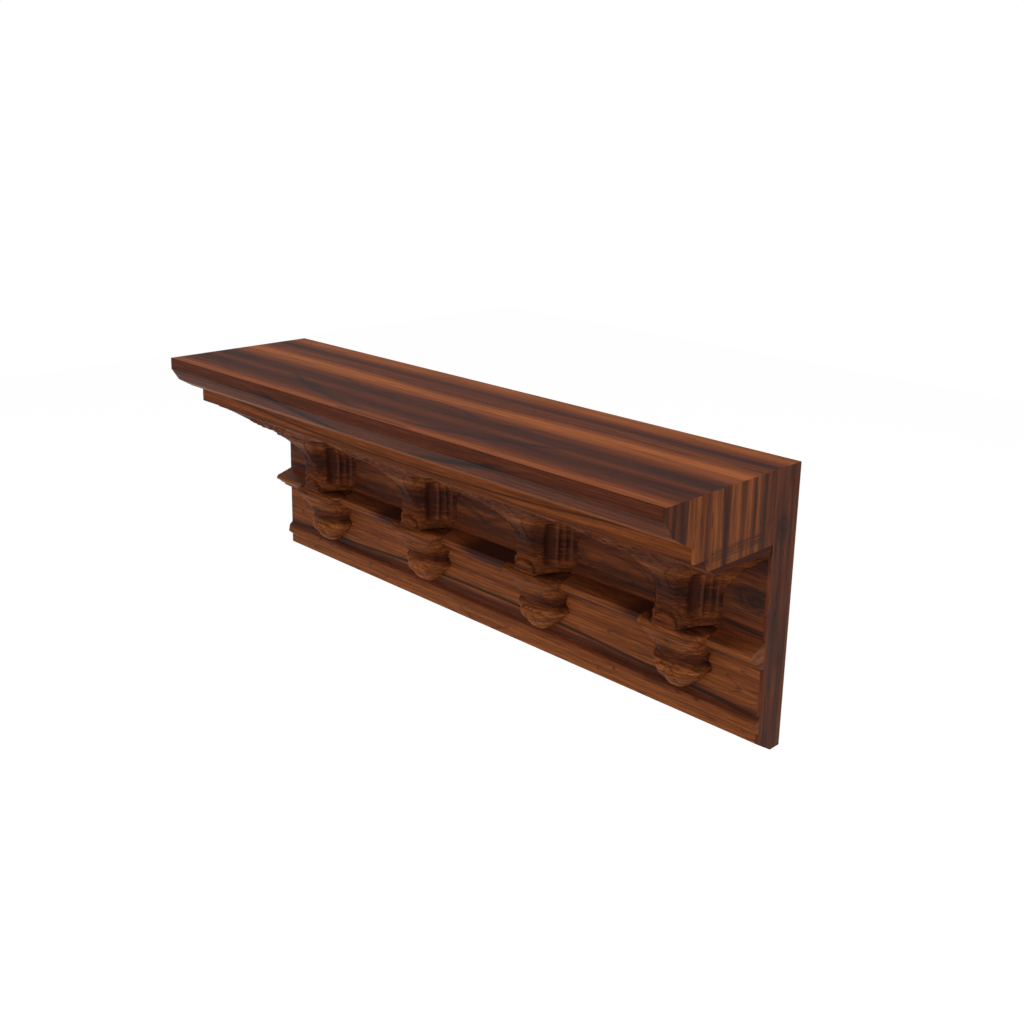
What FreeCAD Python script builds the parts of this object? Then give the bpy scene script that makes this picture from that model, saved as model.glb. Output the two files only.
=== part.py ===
import FreeCAD, Part
import os

# Carved wall shelf: a moulded cornice over an arcaded frieze, hung on two keyhole plates.
# Millimetres. X runs along the shelf, the wall is the plane Y = 0, -Y comes forward, +Z is up.
# The origin is the middle of the back face. A drop is a distance below the top face.

V = FreeCAD.Vector
UP = V(0, 0, 1)
FORWARD = V(0, -1, 0)

# Overall sizes
shelf_length = 609.6
shelf_depth = 158.75
shelf_height = 228.6
overrun = 2.0
closeness = 0.001

# Cornice: shelf board with a moulded front, a fillet board and a bed board under it
shelf_board_thickness = 36.1
fillet_thickness = 11.9
bed_thickness = 9.15
nosing_height = 11.0
ovolo_projection = 33.4
fillet_setback = 33.75
bed_setback = 48.25
bed_lean = 3.4
cap_thickness = 2.5

# Back: a thin board against the wall and a thicker frieze panel planted on it
back_thickness = 12.0
panel_thickness = 18.0
bevel_height = 10.9
end_setback = 12.2

# Arcade: brackets side by side, each a narrow shaft that fans out into two half arches
bay_count = 4
arcade_shift = 3.5
arcade_projection = 77.1
foot_drop = 136.0
bracket_corner = 3.6
boss_radius = 12.0
boss_projection = 31.6
boss_edge = 2.5

# Base blocks under the shafts
block_half_width = 31.0
block_projection = 32.0
block_height = 10.0
block_lean = 3.0
block_corner = 9.0

# Ledge rail between the base blocks
ledge_drop = 134.4
ledge_projection = 18.5
ledge_height = 21.1

# Pendants under the base blocks
pendant_half_width = 28.0
pendant_projection = 29.0
pendant_height = 48.0

# Bead along the lower panel
bead_drop = 195.0
bead_height = 14.0
bead_projection = 4.7

# Loose tongues, glued into facing grooves between the cornice boards and over the back board
tongue_width = 4.0
tongue_bite = 4.0
tongue_clearance = 0.1
tongue_rows = (45.0, 85.0)
tongue_end_cover = 20.0

# Countersunk wood screws, driven from the back through both boards into the brackets
screw_radius = 1.6
screw_head_radius = 3.6
screw_head_depth = 2.4
screw_clearance = 0.15
screw_length = 44.0
bracket_screw_drop = 118.0

# Keyhole hanger plates, let into the back flush with it
hanger_spacing = 406.4
hanger_drop = 84.0
plate_width = 20.0
plate_height = 45.0
plate_thickness = 2.0
plate_clearance = 0.2
entry_radius = 4.75
slot_radius = 2.25
slot_rise = 12.0
pocket_depth = 8.0
pocket_margin = 1.5
hanger_screw_rise = 17.5
hanger_screw_radius = 1.4
hanger_screw_head_radius = 2.9
hanger_screw_head_depth = 1.5
hanger_screw_length = 9.0

# Flats of the ovolo, from the nosing down: shares of its projection and of its fall
ovolo_shares = ((0.23, 0.46), (0.66, 0.80), (1.0, 1.0))

# Ledge section from the panel outwards and back: shares of its projection and of its height
ledge_shares = ((0.0, 0.0), (0.93, 0.24), (1.0, 0.39), (0.72, 0.56), (0.65, 0.64),
                (0.50, 0.71), (0.40, 0.83), (0.08, 1.0), (0.0, 1.0))

# Bead section in the same way
bead_shares = ((0.0, 0.0), (0.74, 0.21), (1.0, 0.71), (0.0, 1.0))

# Bracket sections from the foot up. Each line has the height as a share of the bracket's, the half
# width at the panel and at the front as shares of the reach to the crown, and the projection as a
# share of the arcade's.
bracket_shares = (
    (0.000, 0.390, 0.174, 0.377),
    (0.165, 0.375, 0.150, 0.383),
    (0.241, 0.375, 0.124, 0.390),
    (0.355, 0.375, 0.118, 0.403),
    (0.457, 0.415, 0.118, 0.448),
    (0.533, 0.482, 0.130, 0.494),
    (0.602, 0.562, 0.155, 0.545),
    (0.666, 0.669, 0.221, 0.597),
    (0.723, 0.763, 0.315, 0.656),
    (0.767, 0.835, 0.402, 0.701),
    (0.843, 0.945, 0.549, 0.805),
    (0.869, 1.000, 0.600, 0.835),
    (0.936, 1.000, 1.000, 0.882),
    (1.000, 1.000, 1.000, 1.000),
)

# Pendant sections from the top down: shares of its height, half width and projection, and the
# easing of its corners as a share of its projection.
pendant_shares = (
    (0.000, 1.00, 1.00, 0.32),
    (0.083, 0.91, 0.95, 0.40),
    (0.167, 0.86, 0.91, 0.50),
    (0.240, 0.84, 0.89, 0.56),
    (0.302, 0.83, 0.82, 0.56),
    (0.375, 0.82, 0.64, 0.48),
    (0.458, 0.87, 0.70, 0.50),
    (0.552, 0.95, 0.78, 0.52),
    (0.625, 0.85, 0.78, 0.50),
    (0.708, 0.68, 0.76, 0.44),
    (0.800, 0.50, 0.66, 0.36),
    (0.885, 0.34, 0.50, 0.26),
    (0.958, 0.20, 0.30, 0.16),
    (1.000, 0.08, 0.14, 0.06),
)

# Sizes and places that follow from those above
top = shelf_height / 2
half_length = shelf_length / 2
board_end = half_length - cap_thickness
cornice_height = shelf_board_thickness + fillet_thickness + bed_thickness
cornice_z = top - cornice_height
ground = back_thickness + panel_thickness
frieze_left = -half_length + end_setback
frieze_right = half_length
bay = (frieze_right - frieze_left) / bay_count
foot_z = top - foot_drop
block_foot_z = foot_z - block_height
pilaster_x = [frieze_left + (i + 0.5) * bay + arcade_shift for i in range(bay_count)]


def box(x0, x1, y0, y1, z0, z1):
    return Part.makeBox(x1 - x0, y1 - y0, z1 - z0, V(x0, y0, z0))


def prism(profile, x0, x1):
    """A solid with the (y, z) profile, running from x0 to x1."""
    points = [V(x0, y, z) for y, z in profile]
    return Part.Face(Part.makePolygon(points + points[:1])).extrude(V(x1 - x0, 0, 0))


def moulding(shares, projection, drop, height, x0, x1):
    """A length of moulding planted on the frieze ground, its section given in shares."""
    profile = [(-ground - out * projection, top - drop - fall * height) for out, fall in shares]
    return prism(profile, x0, x1)


def cut_all(piece, cutters):
    for cutter in cutters:
        piece = piece.cut(cutter)
    return piece


def plan(back, front, y_front, easing, z):
    """Level section standing on the frieze ground: two flanks and a flat front, with rounded arrises."""
    corners = [V(back[0], -ground, z), V(front[0], y_front, z), V(front[1], y_front, z), V(back[1], -ground, z)]
    points = [corners[0]]
    for before, corner, after in (corners[0:3], corners[1:4]):
        start = corner + (before - corner).normalize() * easing
        end = corner + (after - corner).normalize() * easing
        points += [start, (start + corner * 2 + end) * 0.25, end]
    points.append(corners[3])
    return points


def facet(points):
    """A flat face through the points, or nothing where some of them fall together."""
    distinct = [p for i, p in enumerate(points) if not p.isEqual(points[i - 1], closeness)]
    if len(distinct) < 3:
        return []
    return [Part.Face(Part.makePolygon(distinct + distinct[:1]))]


def skin(sections):
    """A solid that runs straight from each section to the next, with flat facets like a carver's cuts."""
    faces = facet(sections[0]) + facet(sections[-1])
    sides = len(sections[0])
    for low, high in zip(sections, sections[1:]):
        for i in range(sides):
            j = (i + 1) % sides
            # the diagonals of the left half mirror those of the right half
            if 2 * i < sides - 1:
                faces += facet([low[i], low[j], high[i]]) + facet([low[j], high[j], high[i]])
            else:
                faces += facet([low[i], low[j], high[j]]) + facet([low[i], high[j], high[i]])
    return Part.Solid(Part.Shell(faces)).removeSplitter()


# Tongues and screws, and the grooves and holes for them

def tongues(clearance=0):
    """Strips laid half in one board and half in the next. The last one lies over the back board."""
    fillet_z = cornice_z + bed_thickness
    places = [(row, z) for row in tongue_rows for z in (fillet_z, fillet_z + fillet_thickness)]
    places.append((back_thickness / 2, cornice_z))
    wide = tongue_width / 2 + clearance
    deep = tongue_bite + clearance
    end = board_end - tongue_end_cover + clearance
    return [box(-end, end, -row - wide, -row + wide, z - deep, z + deep) for row, z in places]


def screw(x, drop, length, clearance=0):
    """A countersunk screw, or the hole for one, driven forwards from the back face."""
    place = V(x, 0, top - drop)
    shank = Part.makeCylinder(screw_radius + clearance, length + clearance, place, FORWARD)
    head = Part.makeCone(screw_head_radius + clearance, screw_radius + clearance, screw_head_depth, place, FORWARD)
    return shank.fuse(head)


def bracket_screws(clearance=0):
    return [screw(x, bracket_screw_drop, screw_length, clearance) for x in pilaster_x]


def hanger_screws(x, clearance=0):
    """The two small countersunk screws that hold one hanger plate."""
    screws = []
    for rise in (-hanger_screw_rise, hanger_screw_rise):
        place = V(x, 0, top - hanger_drop + rise)
        shank = Part.makeCylinder(hanger_screw_radius + clearance, hanger_screw_length + clearance, place, FORWARD)
        head = Part.makeCone(hanger_screw_head_radius + clearance, hanger_screw_radius + clearance,
                             hanger_screw_head_depth, place, FORWARD)
        screws.append(shank.fuse(head))
    return screws


# Cornice

def shelf_board_profile():
    nosing_z = top - nosing_height
    underside_z = top - shelf_board_thickness
    profile = [(0, underside_z), (0, top), (-shelf_depth, top), (-shelf_depth, nosing_z)]
    for back_share, fall_share in ovolo_shares:
        fall = fall_share * (nosing_z - underside_z)
        profile.append((-shelf_depth + back_share * ovolo_projection, nosing_z - fall))
    return profile


def fillet_profile():
    high = top - shelf_board_thickness
    front = -shelf_depth + fillet_setback
    return [(0, high - fillet_thickness), (0, high), (front, high), (front, high - fillet_thickness)]


def bed_profile():
    front = -shelf_depth + bed_setback
    return [(0, cornice_z), (0, cornice_z + bed_thickness), (front, cornice_z + bed_thickness),
            (front + bed_lean, cornice_z)]


def cornice_board(profile):
    return cut_all(prism(profile, -board_end, board_end), tongues(tongue_clearance))


def back_leg():
    """Outline over the back board's end."""
    return [(0, cornice_z), (0, -top), (-back_thickness, -top), (-back_thickness, cornice_z)]


def frieze_leg():
    """Outline over the ends of the back board and of the frieze panel with its bevelled foot."""
    return [(0, cornice_z), (0, -top), (-back_thickness, -top), (-ground, -top + bevel_height), (-ground, cornice_z)]


def end_cap(side, leg):
    """Thin upright-grained piece that covers the end grain of the cornice and of the back."""
    x0, x1 = sorted((side * board_end, side * half_length))
    cap = prism(shelf_board_profile(), x0, x1)
    for profile in (fillet_profile(), bed_profile(), leg):
        cap = cap.fuse(prism(profile, x0, x1))
    return cap.removeSplitter()


# Back board and hangers

def hanger_x():
    return (-hanger_spacing / 2, hanger_spacing / 2)


def keyhole(x, radius_in, radius_up, start_y, depth):
    """Round entry with a round-ended slot rising from it."""
    low_z = top - hanger_drop - slot_rise / 2
    entry = Part.makeCylinder(radius_in, depth, V(x, start_y, low_z), FORWARD)
    end = Part.makeCylinder(radius_up, depth, V(x, start_y, low_z + slot_rise), FORWARD)
    slot = box(x - radius_up, x + radius_up, start_y - depth, start_y, low_z, low_z + slot_rise)
    return entry.fuse([end, slot])


def plate_blank(x, clearance):
    half_width = plate_width / 2 + clearance
    half_height = plate_height / 2 + clearance
    z = top - hanger_drop
    return box(x - half_width, x + half_width, -plate_thickness, 0, z - half_height, z + half_height)


def hanger_plate(x):
    plate = plate_blank(x, 0).cut(keyhole(x, entry_radius, slot_radius, overrun, plate_thickness + 2 * overrun))
    return cut_all(plate, hanger_screws(x, screw_clearance))


def back_board():
    board = box(-board_end, board_end, -back_thickness, 0, -top, cornice_z)
    cutters = tongues(tongue_clearance) + bracket_screws(screw_clearance)
    for x in hanger_x():
        wide = entry_radius + pocket_margin
        cutters.append(plate_blank(x, plate_clearance))
        cutters.append(keyhole(x, wide, wide, 0, pocket_depth))
        cutters.extend(hanger_screws(x, screw_clearance))
    return cut_all(board, cutters)


# Frieze

def frieze_panel():
    """The ground of the carving. Its foot and its left end are bevelled back to the board behind."""
    profile = [(-back_thickness, -top), (-ground, -top + bevel_height), (-ground, cornice_z),
               (-back_thickness, cornice_z)]
    panel = prism(profile, -half_length, board_end)
    corner = [V(-half_length, -back_thickness, -top), V(frieze_left, -ground, -top), V(-half_length, -ground, -top)]
    bevel = Part.Face(Part.makePolygon(corner + corner[:1])).extrude(UP * shelf_height)
    return cut_all(panel, [bevel] + bracket_screws(screw_clearance))


def reach(index):
    """Distances from a shaft's middle to the arch crowns, or the frieze's ends, on its two sides."""
    x = pilaster_x[index]
    left = frieze_left if index == 0 else x - bay / 2
    right = frieze_right if index == bay_count - 1 else x + bay / 2
    return x - left, right - x


def bracket(index):
    """One shaft whose splayed flanks and coved front open upwards into half an arch on each side."""
    x = pilaster_x[index]
    left, right = reach(index)
    height = foot_drop - cornice_height
    sections = []
    for rise, wall, front, out in bracket_shares:
        sections.append(plan((x - wall * left, x + wall * right), (x - front * left, x + front * right),
                             -ground - out * arcade_projection, (1 - front) * bracket_corner, foot_z + rise * height))
    return cut_all(skin(sections).fuse(foot_boss(x)), bracket_screws(screw_clearance))


def foot_boss(x):
    """Half-round boss that stands on the base block in front of the shaft."""
    disc = Part.makeCylinder(boss_radius, boss_projection, V(x, -ground, foot_z), FORWARD)
    rim = [e for e in disc.Edges if e.Length > boss_projection and e.CenterOfMass.y < -ground - boss_projection / 2]
    disc = disc.makeChamfer(boss_edge, rim)
    return disc.common(box(x - boss_radius, x + boss_radius, -ground - boss_projection, -ground,
                           foot_z, foot_z + boss_radius))


def base_block(index):
    """Block under a shaft. Its front leans in towards the pendant and its arrises are well rounded."""
    x = pilaster_x[index]
    sections = []
    for z, lean in ((foot_z, 0), (block_foot_z, block_lean)):
        sides = (x - block_half_width + lean, x + block_half_width - lean)
        sections.append(plan(sides, sides, -ground - block_projection + lean, block_corner, z))
    return skin(sections)


def pendant(index):
    """Corbel under a base block: it draws in to a neck and swells again into a bud."""
    x = pilaster_x[index]
    sections = []
    for fall, width, out, easing in pendant_shares:
        sides = (x - width * pendant_half_width, x + width * pendant_half_width)
        sections.append(plan(sides, sides, -ground - out * pendant_projection, easing * pendant_projection,
                             block_foot_z - fall * pendant_height))
    return skin(sections)


def foot_room(index):
    """The room that a base block and the shaft on it take out of the ledge."""
    x = pilaster_x[index]
    return box(x - block_half_width, x + block_half_width, -shelf_depth, -ground, foot_z, cornice_z)


def ledges():
    """Lengths of ledge between the shafts and out to the ends, scribed to the blocks and the pendants."""
    stops = [frieze_left] + pilaster_x + [frieze_right]
    cutters = []
    for i in range(bay_count):
        cutters += [foot_room(i), base_block(i), pendant(i)]
    lengths = [moulding(ledge_shares, ledge_projection, ledge_drop, ledge_height, x0, x1)
               for x0, x1 in zip(stops, stops[1:])]
    return [cut_all(length, cutters) for length in lengths]


def main():
    pieces = {
        "shelf_board": cornice_board(shelf_board_profile()),
        "fillet_board": cornice_board(fillet_profile()),
        "bed_board": cornice_board(bed_profile()),
        "end_cap_left": end_cap(-1, back_leg()),
        "end_cap_right": end_cap(1, frieze_leg()),
        "back_board": back_board(),
        "frieze_panel": frieze_panel(),
        "bead_moulding": moulding(bead_shares, bead_projection, bead_drop, bead_height, frieze_left, frieze_right),
        "tongues": Part.makeCompound(tongues()),
        "bracket_screws": Part.makeCompound(bracket_screws()),
        "hanger_plate_left": hanger_plate(hanger_x()[0]),
        "hanger_plate_right": hanger_plate(hanger_x()[1]),
        "hanger_screws": Part.makeCompound(hanger_screws(hanger_x()[0]) + hanger_screws(hanger_x()[1])),
    }
    for i in range(bay_count):
        number = str(i + 1)
        pieces["bracket_" + number] = bracket(i)
        pieces["base_block_" + number] = base_block(i)
        pieces["pendant_" + number] = pendant(i)
    for i, ledge in enumerate(ledges()):
        pieces["ledge_" + str(i + 1)] = ledge
    os.makedirs("parts", exist_ok=True)
    for name, shape in pieces.items():
        shape.exportStep("parts/" + name + ".step")
        print(name, len(shape.Solids), "solids", round(shape.Volume / 1000, 1), "cm3", shape.isValid())


main()
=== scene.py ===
import bpy
import math
import numpy as np
from mathutils import Matrix


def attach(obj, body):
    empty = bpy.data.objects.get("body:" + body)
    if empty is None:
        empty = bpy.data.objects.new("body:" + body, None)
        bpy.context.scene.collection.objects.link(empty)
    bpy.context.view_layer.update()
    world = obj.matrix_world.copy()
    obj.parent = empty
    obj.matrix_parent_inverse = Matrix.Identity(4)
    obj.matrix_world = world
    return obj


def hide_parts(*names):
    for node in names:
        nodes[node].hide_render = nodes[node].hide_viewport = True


# Carved wall shelf. Places are in millimetres here and become metres in toMetres.
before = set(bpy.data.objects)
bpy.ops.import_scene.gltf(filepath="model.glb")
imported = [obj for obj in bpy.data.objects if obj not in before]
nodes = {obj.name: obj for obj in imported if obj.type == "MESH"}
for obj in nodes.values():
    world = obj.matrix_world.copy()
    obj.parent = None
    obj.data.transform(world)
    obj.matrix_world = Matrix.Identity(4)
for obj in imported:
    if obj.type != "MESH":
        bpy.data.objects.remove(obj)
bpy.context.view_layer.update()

# the top's height, the face of the frieze panel, the frieze's ends, and how far its shafts stand right
shelf = {"top": 114.3, "ground": 30.0, "friezeLeft": -292.6, "friezeRight": 304.8, "bays": 4, "shift": 3.5}
bayWidth = (shelf["friezeRight"] - shelf["friezeLeft"]) / shelf["bays"]
pilasters = [shelf["friezeLeft"] + (i + 0.5) * bayWidth + shelf["shift"] for i in range(shelf["bays"])]


# millimetres times 0.001
def toMetres(points):
    return np.asarray(points, float) * 0.001


# 0 below low, 1 above high, and 3 t squared less 2 t cubed between
def smooth(low, high, value):
    t = np.clip((value - low) / (high - low), 0, 1)
    return t * t * (3 - 2 * t)


# 1 inside and 0 outside: the S curve over rise times one less the S curve over fall
def window(value, rise, fall):
    return smooth(*rise, value) * (1 - smooth(*fall, value))


# a round rise of height 1 at the centre, (1 less t squared) squared, gone at half the width to each side
def hump(value, centre, width):
    t = np.clip(np.abs(value - centre) / (width / 2), 0, 1)
    return (1 - t * t) ** 2


# a closed piece through rings of points in millimetres: point (ring, place) joins the next place and
# the next ring by a quad, and a flat face closes the first and the last ring
def addTube(name, points, material):
    rows, columns = points.shape[:2]
    r, c = np.meshgrid(np.arange(rows - 1), np.arange(columns), indexing="ij")
    a = r * columns + c
    b = r * columns + (c + 1) % columns
    quads = np.stack([a, b, b + columns, a + columns], -1).reshape(-1, 4)
    ring = np.arange(columns)
    corners = np.concatenate([quads.reshape(-1), ring[::-1], ring + (rows - 1) * columns]).astype(np.int32)
    starts = np.append(np.arange(0, quads.size + 1, 4), quads.size + columns).astype(np.int32)
    mesh = bpy.data.meshes.new(name)
    mesh.vertices.add(rows * columns)
    mesh.vertices.foreach_set("co", toMetres(points).reshape(-1))
    mesh.loops.add(len(corners))
    mesh.loops.foreach_set("vertex_index", corners)
    mesh.polygons.add(len(starts))
    mesh.polygons.foreach_set("loop_start", starts)
    mesh.polygons.foreach_set("use_smooth", np.arange(len(starts)) < len(quads))
    mesh.update(calc_edges=True)
    mesh.validate()
    mesh.materials.append(material)
    piece = bpy.data.objects.new(name, mesh)
    bpy.context.scene.collection.objects.link(piece)
    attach(piece, "root")
    return piece


# Camera, at the photograph's place: 44.74 degrees round to the right and 14.58 up, with a slight roll
view = {"azimuth": math.radians(44.74), "elevation": math.radians(14.58), "roll": math.radians(1.15),
        "place": (0.7646, -0.7672, 0.3679), "sensor": 36, "lens": 43.65, "shift": (0.0024, -0.0911)}


# the way back from the two angles, right as a level line square to it, up square to both, then the
# roll turns right and up about the way back
def cameraAxes(azimuth, elevation, roll):
    back = np.array([math.sin(azimuth) * math.cos(elevation), -math.cos(azimuth) * math.cos(elevation),
                     math.sin(elevation)])
    right = np.cross([0, 0, 1], back)
    right /= np.linalg.norm(right)
    up = np.cross(back, right)
    c, s = math.cos(roll), math.sin(roll)
    return c * right + s * up, -s * right + c * up, back


cameraData = bpy.data.cameras.new("camera")
cameraData.sensor_width = view["sensor"]
cameraData.lens = view["lens"]
cameraData.shift_x, cameraData.shift_y = view["shift"]
camera = bpy.data.objects.new("camera", cameraData)
bpy.context.scene.collection.objects.link(camera)
axes = np.array(cameraAxes(view["azimuth"], view["elevation"], view["roll"])).T
turned = Matrix(axes.tolist()).to_4x4()
turned.translation = view["place"]
camera.matrix_world = turned
bpy.context.scene.camera = camera
bpy.context.scene.view_settings.view_transform = "Standard"


# Node helpers

# an empty node material and its tree
def newMaterial(name):
    material = bpy.data.materials.new(name)
    material.use_nodes = True
    material.node_tree.nodes.clear()
    return material, material.node_tree


# links a socket, or writes a plain value
def feed(tree, source, socket):
    if isinstance(source, bpy.types.NodeSocket):
        tree.links.new(source, socket)
    elif isinstance(source, (tuple, list)) and len(source) == 3 and len(socket.default_value) == 4:
        socket.default_value = (*source, 1)
    else:
        socket.default_value = source


# one Math node on its inputs
def calc(tree, operation, *inputs):
    node = tree.nodes.new("ShaderNodeMath")
    node.operation = operation
    for i, source in enumerate(inputs):
        feed(tree, source, node.inputs[i])
    return node.outputs[0]


# how far the value lies from a place, to either side: the size of value less place
def distance(tree, value, place):
    return calc(tree, "ABSOLUTE", calc(tree, "SUBTRACT", value, place))


# the place (x, y, z)
def vector(tree, x, y, z):
    node = tree.nodes.new("ShaderNodeCombineXYZ")
    for i, source in enumerate((x, y, z)):
        feed(tree, source, node.inputs[i])
    return node.outputs[0]


# soft noise from 0 to 1 with about one swell to each unit of place
def noise(tree, place, detail=3.0, roughness=0.5, distortion=0.0):
    node = tree.nodes.new("ShaderNodeTexNoise")
    node.inputs["Scale"].default_value = 1
    node.inputs["Detail"].default_value = detail
    node.inputs["Roughness"].default_value = roughness
    node.inputs["Distortion"].default_value = distortion
    tree.links.new(place, node.inputs["Vector"])
    return node.outputs["Fac"]


# colours at stops from 0 to 1, eased from one to the next
def ramp(tree, factor, stops):
    node = tree.nodes.new("ShaderNodeValToRGB")
    node.color_ramp.interpolation = "EASE"
    elements = node.color_ramp.elements
    while len(elements) < len(stops):
        elements.new(0.5)
    for element, (place, colour) in zip(elements, stops):
        element.position = place
        element.color = (*colour, 1)
    feed(tree, factor, node.inputs["Fac"])
    return node.outputs["Color"]


# the value's place between low and high, drawn smoothly from bottom to top
def step(tree, value, low, high, bottom=0.0, top=1.0):
    node = tree.nodes.new("ShaderNodeMapRange")
    node.interpolation_type = "SMOOTHSTEP"
    for name, source in (("Value", value), ("From Min", low), ("From Max", high), ("To Min", bottom),
                         ("To Max", top)):
        feed(tree, source, node.inputs[name])
    return node.outputs["Result"]


# up to 1 over rise, and down from 1 to 0 over fall: the two steps multiplied
def between(tree, value, rise, fall):
    return calc(tree, "MULTIPLY", step(tree, value, *rise), step(tree, value, *fall, 1.0, 0.0))


# a line: strength at the place itself, fading to nothing at the half width
def lineAt(tree, value, place, width, strength):
    return step(tree, distance(tree, value, place), 0.0, width, strength, 0.0)


# first colour at factor 0 and second at 1, or with kind MULTIPLY the two multiplied
def mix(tree, factor, first, second, kind="MIX"):
    node = tree.nodes.new("ShaderNodeMix")
    node.data_type = "RGBA"
    node.blend_type = kind
    node.clamp_factor = True
    feed(tree, factor, node.inputs[0])
    feed(tree, first, node.inputs[6])
    feed(tree, second, node.inputs[7])
    return node.outputs[2]


# a squared plus b squared
def sumSquares(tree, a, b):
    return calc(tree, "ADD", calc(tree, "MULTIPLY", a, a), calc(tree, "MULTIPLY", b, b))


# a bell over the (along, across) plane: exp(-(along / length) squared - (off centre / width) squared)
def bell(tree, along, length, across, centre, width):
    a = calc(tree, "DIVIDE", along, length)
    b = calc(tree, "DIVIDE", calc(tree, "SUBTRACT", across, centre), width)
    return calc(tree, "EXPONENT", calc(tree, "MULTIPLY", sumSquares(tree, a, b), -1.0))


# distance from a centre, in half axes of an ellipse
def ovalDistance(tree, along, across, centre, size):
    a = calc(tree, "DIVIDE", calc(tree, "SUBTRACT", along, centre[0]), size[0])
    b = calc(tree, "DIVIDE", calc(tree, "SUBTRACT", across, centre[1]), size[1])
    return calc(tree, "SQRT", sumSquares(tree, a, b))


# 1 for the camera, mirrors and glass, and 0 for the light that falls on things
def seenRays(tree):
    paths = tree.nodes.new("ShaderNodeLightPath")
    seen = calc(tree, "MAXIMUM", paths.outputs["Is Camera Ray"], paths.outputs["Is Transmission Ray"])
    return calc(tree, "MAXIMUM", seen, paths.outputs["Is Glossy Ray"])


# the shader becomes the tree's surface
def showShader(tree, shader, kind="ShaderNodeOutputMaterial"):
    output = tree.nodes.new(kind)
    tree.links.new(shader.outputs[0], output.inputs["Surface"])


# Rosewood. The grain runs along one axis and the figure is drawn on the distance across it. Broad
# bands come first, then soft and fine streaks, dark clouds, thin lines, single marks, knots and pores.
# A look may be mirrored about the shelf's middle, as book-matched boards are. Linear colours:
tone = {"honey": (0.232, 0.066, 0.0180), "amber": (0.180, 0.048, 0.0145), "rust": (0.125, 0.032, 0.0118),
        "brown": (0.082, 0.0215, 0.0098), "umber": (0.050, 0.0145, 0.0084), "ink": (0.0170, 0.0108, 0.0098),
        # the pale tone before pore is painted sheen on the carving's flank rolls
        "gold": (0.285, 0.085, 0.0250), "paintedSheen": (0.160, 0.056, 0.033), "pore": (0.012, 0.006, 0.005)}

# How every look draws its figure. A noise is its stretch along the grain, its pitch across it and its
# turn, a detail is a noise's detail, roughness and distortion, and a range is what counts in it.
figure = {"depthShare": 0.3,  # how fast a noise changes into the wood, as a share of its pitch
          "slowNoise": (0.006, 0.03, 0.0), "slowDetail": (2.0, 0.5, 0.0),
          "streakDetail": (4.0, 0.6, 0.3), "streakRange": (0.3, 0.7), "streakLift": 0.8,
          "cloudDetail": (4.0, 0.6, 0.6), "lineDetail": (1.0, 0.5, 0.0), "markFade": 0.25,
          "knotNoise": (0.09, 0.12, 3.7), "knotDetail": (3.0, 0.5, 0.0), "knotWobble": 0.8,
          "knotWaves": 15.0, "knotEdge": (0.35, 1.05), "knotRipple": 0.2, "knotDark": 0.7,
          "turnedNoise": (0.05, 1.1), "turnedDetail": (4.0, 0.6), "turnedRange": (0.35, 0.65),
          "turnedEdge": 1.5, "turnedSide": 4,
          "cornerRamp": 32, "cornerEdge": 1, "stripeCore": 0.3, "shaftRise": (-14, -6), "shaftFall": (27, 31),
          "endNoise": (0.5, 0.02), "endRange": (0.35, 0.65), "endEdge": 0.5, "endFrom": (45.0, 48.0),
          "poreNoise": (0.12, 4.0, 0.0), "poreDetail": (2.0, 0.6, 0.0), "poreRange": (0.30, 0.42),
          "pores": 0.35, "roughSpread": 0.15, "poreDepth": 0.0002, "poreBump": 0.25}


# noise at (along times stretch plus turn, line times pitch, depth times its share of the pitch)
def grain(tree, at, stretch, pitch, turn, detail, line="shifted"):
    place = vector(tree, calc(tree, "MULTIPLY_ADD", at["along"], stretch, turn + at["seed"]),
                   calc(tree, "MULTIPLY", at[line], pitch),
                   calc(tree, "MULTIPLY", at["depth"], pitch * figure["depthShare"]))
    return noise(tree, place, *detail)


# Object coordinates times 1000, and from them: along, the place down the grain or from the mirror's
# middle; side, whichever of x and z the grain doesn't follow; across, the side and y times their shares;
# depth, y less the side; and shifted, across after the bands wander by a slow noise and bow by bells
def grainPlaces(tree, look):
    coordinates = tree.nodes.new("ShaderNodeTexCoord")
    scaled = tree.nodes.new("ShaderNodeVectorMath")
    scaled.operation = "SCALE"
    scaled.inputs["Scale"].default_value = 1000
    split = tree.nodes.new("ShaderNodeSeparateXYZ")
    tree.links.new(coordinates.outputs["Object"], scaled.inputs[0])
    tree.links.new(scaled.outputs[0], split.inputs[0])
    x, y, z = split.outputs[:3]
    along, side = (x, z) if look["grain"] == "x" else (z, x)
    sideShare, frontShare = look["across"]
    across = calc(tree, "MULTIPLY_ADD", y, frontShare, calc(tree, "MULTIPLY", side, sideShare))
    if look.get("mirror", True):
        along = distance(tree, along, look.get("middle", 0.0))
    at = {"x": x, "y": y, "z": z, "along": along, "across": across, "seed": look["seed"],
          "depth": calc(tree, "SUBTRACT", y, side)}
    slow = grain(tree, at, *figure["slowNoise"], figure["slowDetail"], "across")
    slow = calc(tree, "SUBTRACT", slow, 0.5)
    at["shifted"] = calc(tree, "MULTIPLY_ADD", slow, look["wander"], across)
    for height, reach, centre, width in look.get("bows", ()):
        rise = bell(tree, along, reach, across, centre, width)
        at["shifted"] = calc(tree, "MULTIPLY_ADD", rise, height, at["shifted"])
    return at


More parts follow.
